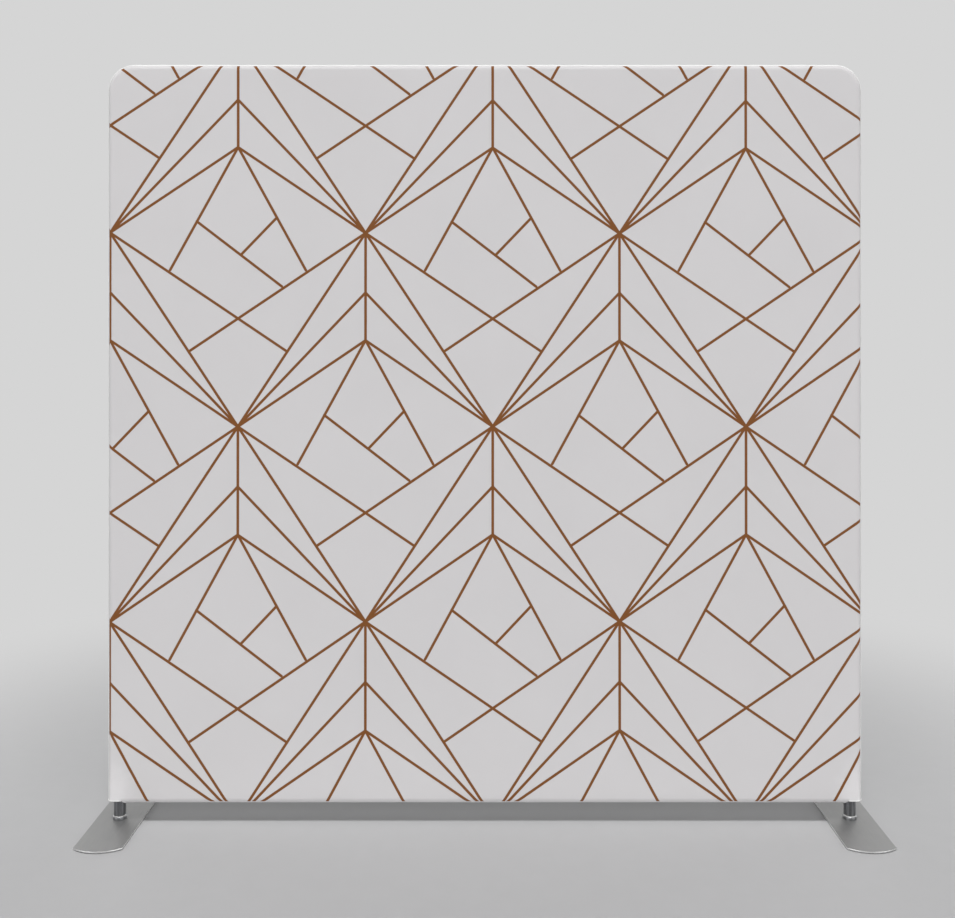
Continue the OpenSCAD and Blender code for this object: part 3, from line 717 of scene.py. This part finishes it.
def leg_binding(side, name):
    """Ribbed elastic band round a leg opening, with its sewn thread."""
    node = f"{name}_leg_cuff"
    low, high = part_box(node)
    inner, outer = COVER_R - CLOTH_T + 0.00005, high.y
    middle_r, half_r = (inner + outer) / 2, (outer - inner) / 2
    middle_z, half_z = (low.z + high.z) / 2, (high.z - low.z) / 2
    count, around = BINDING_SECTIONS, 20
    points = []
    for k, (middle, turn) in enumerate(zip(*opening_line(count))):
        for a in np.arange(around) * 2 * math.pi / around:
            fat_r, fat_z = fat_round(a)
            rib = 1 - RIB_DEPTH * (0.5 + 0.5 * math.cos(k * math.pi / 3)) * (fat_r > 0)
            r = middle_r + half_r * fat_r * rib
            x = middle + r * math.cos(turn)
            points.append((side * x, r * math.sin(turn), middle_z + half_z * fat_z))
    faces = grid_faces(count, around, closed=True, flip=side > 0)
    last = count * around - 1
    ends = [tuple(range(around)), tuple(range(last, last - around, -1))]
    faces += ends if side > 0 else [end[::-1] for end in ends]
    band = add_mesh(
        f"{name}_leg_binding", points, faces, [BINDING], "frame", [node], sharp=60
    )

    middles, turns = opening_line(BINDING_STITCHES)
    zero = np.zeros(len(turns))
    ups = np.stack([side * np.cos(turns), np.sin(turns), zero], 1)
    ways = np.stack([-side * np.sin(turns), np.cos(turns), zero], 1)
    centres = ups * (outer - 0.0003) + np.stack([side * middles, zero, zero + middle_z], 1)
    inside = (centres[1:-1], ways[1:-1], ups[1:-1])
    points, faces = stitches(*inside, half_length=0.0009, half_width=0.00025, height=0.0003)
    thread = add_mesh(f"{name}_leg_thread", points, faces, [THREAD], "frame")
    return [band, thread]


front = cover_half("front_cloth", -1, FRONT, "front_cover", SEAM_TURN)
back = cover_half("back_cloth", 1, BACK, "back_cover", 180 - SEAM_TURN, slit=True)
seam = seam_thread()
left_band = leg_binding(-1, "left")
right_band = leg_binding(1, "right")


# The zip


def zip_tape(name, edge_z, far_z):
    """Woven tape from the edge beside the coil to its far selvedge."""
    xs = np.linspace(tape_low.x, tape_high.x, 261)
    middle, half = (tape_low.y + tape_high.y) / 2, (tape_high.y - tape_low.y) / 2
    # Places across the tape and its thickness there, as shares
    across = [(0, 0.55), (0.02, 1), (0.12, 0.8), (0.5, 0.72), (0.93, 0.8), (0.985, 1), (1, 0.55)]
    points = []
    for way in (1, -1):
        for t, fat in across[::way]:
            y, z = middle + way * half * fat, edge_z + (far_z - edge_z) * t
            points += [(x, y, z) for x in xs]
    rows, n = 2 * len(across), len(xs)
    flip = far_z < edge_z
    faces = grid_faces(rows, n, flip=not flip)
    for j in range(n - 1):
        face = ((rows - 1) * n + j, (rows - 1) * n + j + 1, j + 1, j)
        faces.append(face if flip else face[::-1])
    for j in (0, n - 1):
        ring = tuple(i * n + j for i in range(rows))
        faces.append(ring if (j == 0) != flip else ring[::-1])
    return add_mesh(f"{name}_cloth", points, faces, [TAPE], "frame", [name])


def zip_coil(name, near_z, far_z):
    """Nylon coil: a wire wound along the tape's edge round a cord."""
    middle_y, middle_z = (coil_low.y + coil_high.y) / 2, (near_z + far_z) / 2
    ry = (coil_high.y - coil_low.y) / 2 - COIL_WIRE_R
    rz = abs(far_z - near_z) / 2 - COIL_WIRE_R
    low_x, high_x = coil_low.x + COIL_WIRE_R, coil_high.x - COIL_WIRE_R
    sides, around = 5, 10
    t = np.arange(round((high_x - low_x) / COIL_PITCH) * around + 1) * 2 * math.pi / around
    xs = np.linspace(low_x, high_x, len(t))
    line = np.stack([xs, middle_y + ry * np.cos(t), middle_z + rz * np.sin(t)], 1)
    out = np.stack([np.zeros(len(t)), np.cos(t), np.sin(t)], 1)
    turn = (np.arange(sides) * 2 * math.pi / sides)[None, :, None]
    round_wire = out[:, None] * np.cos(turn) + np.array([1.0, 0, 0]) * np.sin(turn)
    wire = (line[:, None] + COIL_WIRE_R * round_wire).reshape(-1, 3)
    wire_faces = grid_faces(len(t), sides, closed=True)
    wire_faces += [tuple(range(sides)), tuple(len(wire) - 1 - k for k in range(sides))]
    cord = [
        (x, middle_y + 0.5 * ry * math.cos(a), middle_z + 0.5 * rz * math.sin(a))
        for x in (low_x, high_x)
        for a in np.arange(8) * math.pi / 4
    ]
    cord_faces = grid_faces(2, 8, closed=True, flip=True)
    cord_faces += [tuple(range(8)), tuple(range(15, 7, -1))]
    points, faces = joined([(wire, wire_faces), (cord, cord_faces)])
    return add_mesh(f"{name}_wire", points, faces, [COIL], "frame", [name])


def zip_stops():
    """The metal stops at the ends of the coils."""
    low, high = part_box("zip_stops")
    parts = []
    for x in (low.x, high.x - STOP_LEN):
        end = (x + STOP_LEN, high.y, high.z)
        parts.append(box_points((x, low.y, low.z), end, bevel=0.0004))
    points, faces = joined(parts)
    return add_mesh("zip_end_stops", points, faces, [ZIP_METAL], "frame", ["zip_stops"])


def zip_stitching():
    """The rows of stitches that hold the tapes, on the back's face."""
    xs = np.linspace(-ZIP_X + 0.002, ZIP_X - 0.002, ZIP_STITCHES)
    rows = []
    for dz in ZIP_ROWS:
        zs = np.full(len(xs), ZIP_Z + dz)
        rows.append(np.stack([xs, face_y(xs, zs), zs], 1))
    centres = np.concatenate(rows)
    ways = np.tile((1.0, 0, 0), (len(centres), 1))
    ups = np.tile((0, 1.0, 0), (len(centres), 1))
    points, faces = stitches(centres, ways, ups, half_length=0.0013, half_width=0.00028, height=0.00025)
    return add_mesh("zip_thread", points, faces, [THREAD], "frame")


def slider_plate(x0, y0, y1):
    """One of the slider's two plates, narrower towards x0, with softened rims."""
    t = np.linspace(0, 1, 13)
    narrow = 1 - 0.28 * smooth_step((0.55 - t) / 0.55)
    half = SLIDER_HALF * narrow * (1 - 0.18 * smooth_step((t - 0.88) / 0.12))
    side = list(zip(x0 + SLIDER_LEN * t, half))
    ring = side + [(x, -w) for x, w in side[::-1]]
    centre = x0 + SLIDER_LEN / 2
    points = []
    for shrink, y in ((0.94, y0), (1.0, y0 + 0.00025), (1.0, y1 - 0.00035), (0.9, y1)):
        points += [(centre + (x - centre) * shrink, y, ZIP_Z + w * shrink) for x, w in ring]
    count = len(ring)
    faces = grid_faces(4, count, closed=True)
    faces += [tuple(range(count))[::-1], tuple(range(3 * count, 4 * count))]
    return points, faces


def zip_slider():
    """The slider: two plates joined by side walls and a wedge, with a loop for the pull."""
    node = "zip_slider"
    low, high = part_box(node)
    centre = (low.x + high.x) / 2
    x0, x1 = centre - SLIDER_LEN / 2, centre + SLIDER_LEN / 2
    play, wall = 0.00025, 0.0011
    top = coil_high.y + play
    parts = [slider_plate(x0, y, y + SLIDER_PLATE) for y in (low.y, top)]
    for z0 in (ZIP_Z - 0.003 - wall, ZIP_Z + 0.003):
        wall_low = (x0 + 0.005, tape_high.y + play, z0)
        wall_high = (x1 - 0.001, top + 0.0002, z0 + wall)
        parts.append(box_points(wall_low, wall_high, bevel=0.0002))
    base = top + SLIDER_PLATE - 0.0001
    wedge_low = (x0 + 0.0105, low.y + 0.0001, ZIP_Z - 0.0003)
    wedge_high = (x1 - 0.0002, base, ZIP_Z + 0.0003)
    parts.append(box_points(wedge_low, wedge_high, bevel=0.0001))
    arm, t = 0.004, 0.0012
    for x in (centre - arm, centre + arm - t):
        arm_low, arm_high = (x, base, ZIP_Z - t), (x + t, high.y, ZIP_Z + t)
        parts.append(box_points(arm_low, arm_high, bevel=0.0003))
    loop_low, loop_high = (centre - arm, high.y - t, ZIP_Z - t), (centre + arm, high.y, ZIP_Z + t)
    parts.append(box_points(loop_low, loop_high, bevel=0.0004))
    points, faces = joined(parts)
    return add_mesh("zip_slider_body", points, faces, [ZIP_METAL], node, [node])


upper_tape = zip_tape("upper_zip_tape", tape_low.z, tape_high.z)
lower_tape = zip_tape("lower_zip_tape", 2 * ZIP_Z - tape_low.z, 2 * ZIP_Z - tape_high.z)
upper_coil = zip_coil("upper_zip_coil", coil_low.z, coil_high.z)
lower_coil = zip_coil("lower_zip_coil", 2 * ZIP_Z - coil_low.z, 2 * ZIP_Z - coil_high.z)
stops = zip_stops()
zip_thread = zip_stitching()
zip_slider()


# The looks of the CAD nodes, by the ends of their names: the first that fits

NODE_LOOKS = (
    ("top_tube", TUBE_X),
    ("bottom_tube", TUBE_X),
    ("branch_tube", TUBE_X),
    ("leg_tube", SHADED_LEG),
    ("tube", TUBE_Z),
    ("sleeves", SLEEVE),
    ("sleeve", SLEEVE),
    ("leg_joints", SLEEVE),
    ("rivets", RIVET),
    ("springs", SPRING),
    ("button", BUTTON),
    ("saddle", SADDLE),
    ("blocks", SADDLE),
    ("bushes", BUSH),
    ("pads", RUBBER),
    ("screw", SCREW),
    ("plate", PLATE),
    ("post", POST),
    ("zip_pull", ZIP_METAL),
    ("zip_slider", ZIP_METAL),
    ("zip_stops", ZIP_METAL),
    ("", BACK),
)

for name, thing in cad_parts.items():
    look = next(look for ending, look in NODE_LOOKS if name.endswith(ending))
    if not thing.material_slots:
        thing.data.materials.append(look)
    for slot in thing.material_slots:
        slot.material = look


# The feet


def plate_outline(inset):
    """The plate's outline about its middle, set in by inset, as points that turn evenly round its
    hole."""
    half_w = (plate_high.x - plate_low.x) / 2 - inset
    half_l = (plate_high.y - plate_low.y) / 2 - inset
    end = PLATE_END_R - inset
    centre = half_l - end
    lean = math.asin(half_w / end)
    ends = [(end * math.sin(a), centre + end * math.cos(a)) for a in np.linspace(lean, -lean, 33)]
    turn = math.atan2(centre + math.sqrt(end**2 - half_w**2), half_w)
    side = [(-half_w, half_w * math.tan(a)) for a in np.linspace(turn, -turn, 27)[1:-1]]
    half = ends + side
    return half + [(-x, -y) for x, y in half]


def foot_plate(name):
    """The flat foot plate, with ground edges and a countersunk hole."""
    node = f"{name}_foot_plate"
    low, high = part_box(node)
    cx, cy = (low.x + high.x) / 2, (low.y + high.y) / 2
    points = []
    for inset, z in PLATE_RIM:
        points += [(cx + x, cy + y, low.z + z) for x, y in plate_outline(inset)]
    turns = [math.atan2(y, x) for x, y in plate_outline(0)]
    # The radius and height of the hole, from the top down through the countersink
    hole = [(0.0055, PLATE_T), (HOLE_R, 0.0047), (HOLE_R, 0.004), (0.0102, 0.0), (0.0106, 0.0)]
    for r, z in hole:
        points += [(cx + r * math.cos(a), cy + r * math.sin(a), low.z + z) for a in turns]
    count = len(turns)
    faces = ring_faces(len(PLATE_RIM) + len(hole), count)
    # The ground edge is the rim from its third ring to its sixth
    looks, ground = [PLATE, PLATE_EDGE], range(2 * count, 5 * count)
    body, slot = f"{name}_foot", "foot_steel"
    add_mesh(f"{node}_steel", points, faces, looks, body, [node], second=ground, sharp=30)


def foot_post(name):
    """The turned post that the leg stands on, with its rounded collar."""
    node = f"{name}_foot_post"
    low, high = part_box(node)
    z, r = low.z, (high.x - low.x) / 2
    shank_r, bore_r, bore_z = 0.0165, 0.0135, z + 0.024
    collar_r, collar_z = 0.003, z + 0.011
    round_z = collar_z - collar_r
    profile = [(HOLE_R, z), (r - 0.0005, z), (r, z + 0.0005), (r, round_z)]
    profile += arc(r - collar_r, round_z, collar_r, start=10, end=90, steps=8)
    profile += [(shank_r, collar_z), (shank_r, high.z - 0.0008), (shank_r - 0.0008, high.z)]
    profile += [(bore_r, high.z), (bore_r, bore_z), (HOLE_R, bore_z)]
    x = (low.x + high.x) / 2
    turned(f"{node}_steel", x, profile, POST, f"{name}_foot", [node])


for name in ("left", "right"):
    foot_plate(name)
    foot_post(name)


# Floor, light and camera

FLOOR_COLOUR = colour(165, 165, 166)
AIR_COLOUR = colour(213, 213, 213)
# To the camera, the floor goes over into the air's colour between these distances from the part
FLOOR_FADE = (1.3, 3.4)
FLOOR_RINGS = (0.5, 1, 1.6, 2.4, 4, 8, 20, 60)
FLOOR_COUNT = 96
WORLD_LIGHT = 0.12

# The camera's place, its sensor and lens in millimetres, and the shift of its frame in pixels of a
# picture this wide
EYE_Y, EYE_Z = -3.535, 1.576
SENSOR_W, LENS = 36, 41.07
PICTURE_W = 955
SHIFT_RIGHT, SHIFT_UP = -7.3, -124.5


def floor_look():
    look = material_nodes("studio_floor")
    fine = look.noise(look.place(), 14.0, 4.0)
    base = look.mix(look.between(fine, 0.3, 0.7), times(FLOOR_COLOUR, 0.985), FLOOR_COLOUR)
    floor = look.node("BsdfPrincipled", {"Base Color": base, "Roughness": 0.7}).outputs[0]
    air = look.node("Emission", {"Color": AIR_COLOUR}).outputs[0]
    away = look.vector("LENGTH", look.place())
    fade = look.math("MULTIPLY", look.between(away, *FLOOR_FADE), look.seen_ray())
    surface = look.node("MixShader", {0: fade, 1: floor, 2: air}).outputs[0]
    look.node("OutputMaterial", {"Surface": surface})
    return look.owner


def studio_floor():
    """A round floor."""
    turns = np.arange(FLOOR_COUNT) * 2 * math.pi / FLOOR_COUNT
    points = [(0, 0, 0)] + [(r * math.cos(a), r * math.sin(a), 0) for r in FLOOR_RINGS for a in turns]
    faces = [(0, 1 + j, 1 + (j + 1) % FLOOR_COUNT) for j in range(FLOOR_COUNT)]
    faces += grid_faces(len(FLOOR_RINGS), FLOOR_COUNT, start=1, closed=True, flip=True)
    mesh = bpy.data.meshes.new("studio_floor")
    mesh.from_pydata(points, [], faces)
    mesh.materials.append(floor_look())
    floor = bpy.data.objects.new("studio_floor", mesh)
    bpy.context.scene.collection.objects.link(floor)


def studio_air():
    """The world: a little even light, and the air's colour where the camera sees it."""
    world = bpy.data.worlds.new("studio_air")
    bpy.context.scene.world = world
    look = Look(world)
    light = look.node("Background", {"Color": (1, 1, 1, 1), "Strength": WORLD_LIGHT}).outputs[0]
    air = look.node("Background", {"Color": AIR_COLOUR}).outputs[0]
    mixed = look.node("MixShader", {0: look.seen_ray(), 1: light, 2: air}).outputs[0]
    look.node("OutputWorld", {"Surface": mixed})


def sun(name, strength, spread, tilt, turn):
    """A soft distant lamp: tilt is from straight down, and turn is the side it comes from, from the
    front."""
    data = bpy.data.lights.new(name, "SUN")
    data.energy = strength
    data.angle = math.radians(spread)
    lamp = bpy.data.objects.new(name, data)
    bpy.context.scene.collection.objects.link(lamp)
    side = Matrix.Rotation(math.radians(turn), 4, "Z")
    lamp.matrix_world = side @ Matrix.Rotation(math.radians(tilt), 4, "X")


def add_camera():
    data = bpy.data.cameras.new("camera")
    data.sensor_fit = "HORIZONTAL"
    data.sensor_width = SENSOR_W
    data.lens = LENS
    data.shift_x = SHIFT_RIGHT / PICTURE_W
    data.shift_y = SHIFT_UP / PICTURE_W
    camera = bpy.data.objects.new("camera", data)
    camera.location = (0, EYE_Y, EYE_Z)
    camera.rotation_euler = (math.radians(90), 0, 0)
    bpy.context.scene.collection.objects.link(camera)
    bpy.context.scene.camera = camera


studio_floor()
studio_air()
sun("overhead", strength=2.35, spread=11, tilt=12, turn=0)
for side, turn in (("left", -45), ("right", 45)):
    sun(f"front_{side}", strength=1.69, spread=50, tilt=84, turn=turn)
    sun(f"back_{side}", strength=1.3, spread=50, tilt=84, turn=180 - turn)
add_camera()
bpy.context.scene.view_settings.view_transform = "Standard"
